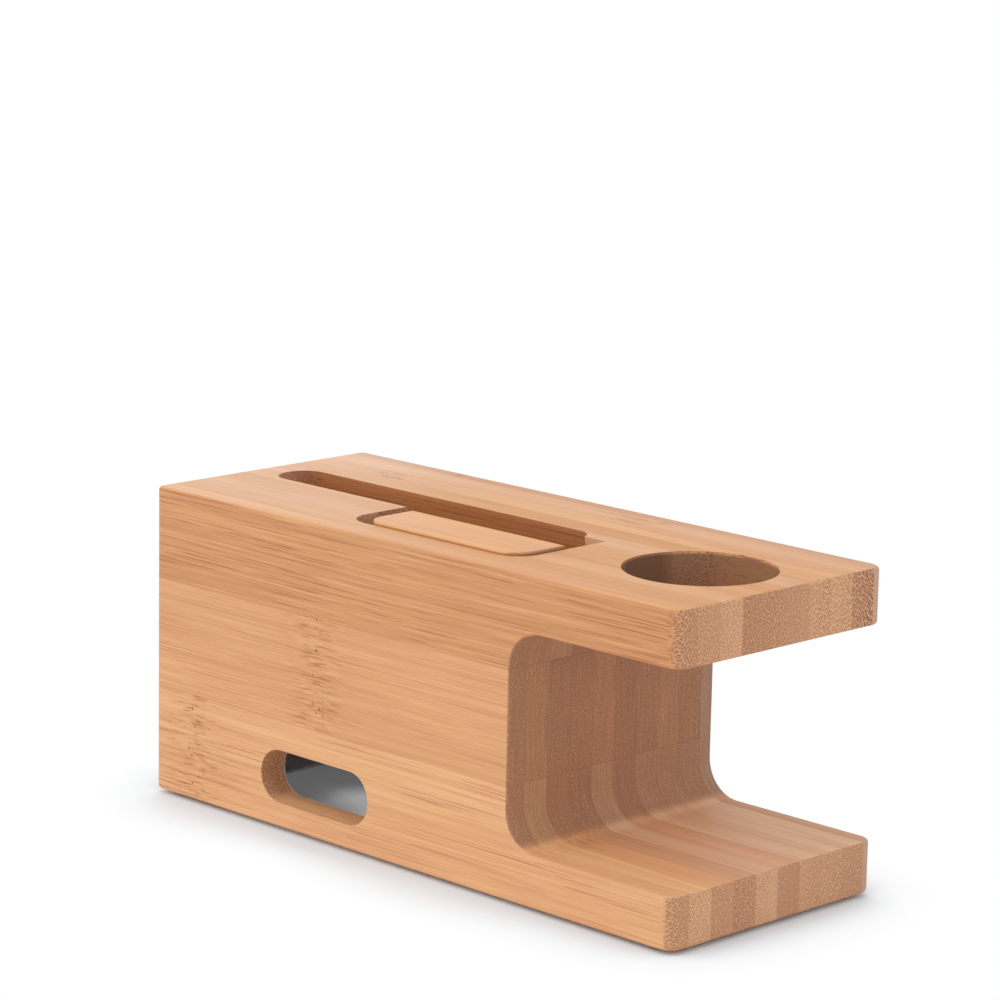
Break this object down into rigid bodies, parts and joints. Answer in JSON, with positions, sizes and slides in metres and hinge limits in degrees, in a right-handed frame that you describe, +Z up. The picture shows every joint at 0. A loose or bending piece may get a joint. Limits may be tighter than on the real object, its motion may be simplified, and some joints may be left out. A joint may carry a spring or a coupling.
{
  "type": "charging station organizer",
  "caption": "Laminated bamboo charging dock with a leaning device slot, a round puck seat on an arm over a strap gap, a lift-out cable cover and a cable window.",
  "frame": {"origin": "on the table under the middle of the dock, bottom centre of its box", "axes": "+X along the block towards the arm, +Y the side the device's screen faces, +Z up"},
  "size_m": [0.136, 0.054, 0.0615],
  "materials": {
    "bamboo_light": "satin",
    "bamboo_mid": "satin",
    "bamboo_dark": "satin",
    "bamboo_cover": "satin",
    "foot": "matte"
  },
  "bodies": {
    "dock": {"bottom_strip_01": "bamboo_dark", "bottom_strip_02": "bamboo_light", "bottom_strip_03": "bamboo_mid", "bottom_strip_04": "bamboo_dark", "bottom_strip_05": "bamboo_light", "bottom_strip_06": "bamboo_dark", "bottom_strip_07": "bamboo_light", "bottom_strip_08": "bamboo_mid", "bottom_strip_09": "bamboo_mid", "bottom_strip_10": "bamboo_mid", "middle_strip_01": "bamboo_light", "middle_strip_02": "bamboo_light", "middle_strip_03": "bamboo_mid", "middle_strip_04": "bamboo_dark", "middle_strip_05": "bamboo_light", "middle_strip_06": "bamboo_mid", "middle_strip_07": "bamboo_mid", "middle_strip_08": "bamboo_light", "middle_strip_09": "bamboo_dark", "middle_strip_10": "bamboo_mid", "top_strip_01": "bamboo_mid", "top_strip_02": "bamboo_mid", "top_strip_03": "bamboo_light", "top_strip_04": "bamboo_dark", "top_strip_05": "bamboo_mid", "top_strip_06": "bamboo_mid", "top_strip_07": "bamboo_light", "top_strip_08": "bamboo_light", "top_strip_09": "bamboo_dark", "top_strip_10": "bamboo_mid", "foot_block_rear": "foot", "foot_block_front": "foot", "foot_arm_rear": "foot", "foot_arm_front": "foot"},
    "cover": {"cable_cover": "bamboo_cover"}
  },
  "joints": [
    {"name": "cover_lift", "type": "slide", "parent": "dock", "child": "cover", "axis": [0, 0, 1], "range_m": [0, 0.025]}
  ]
}
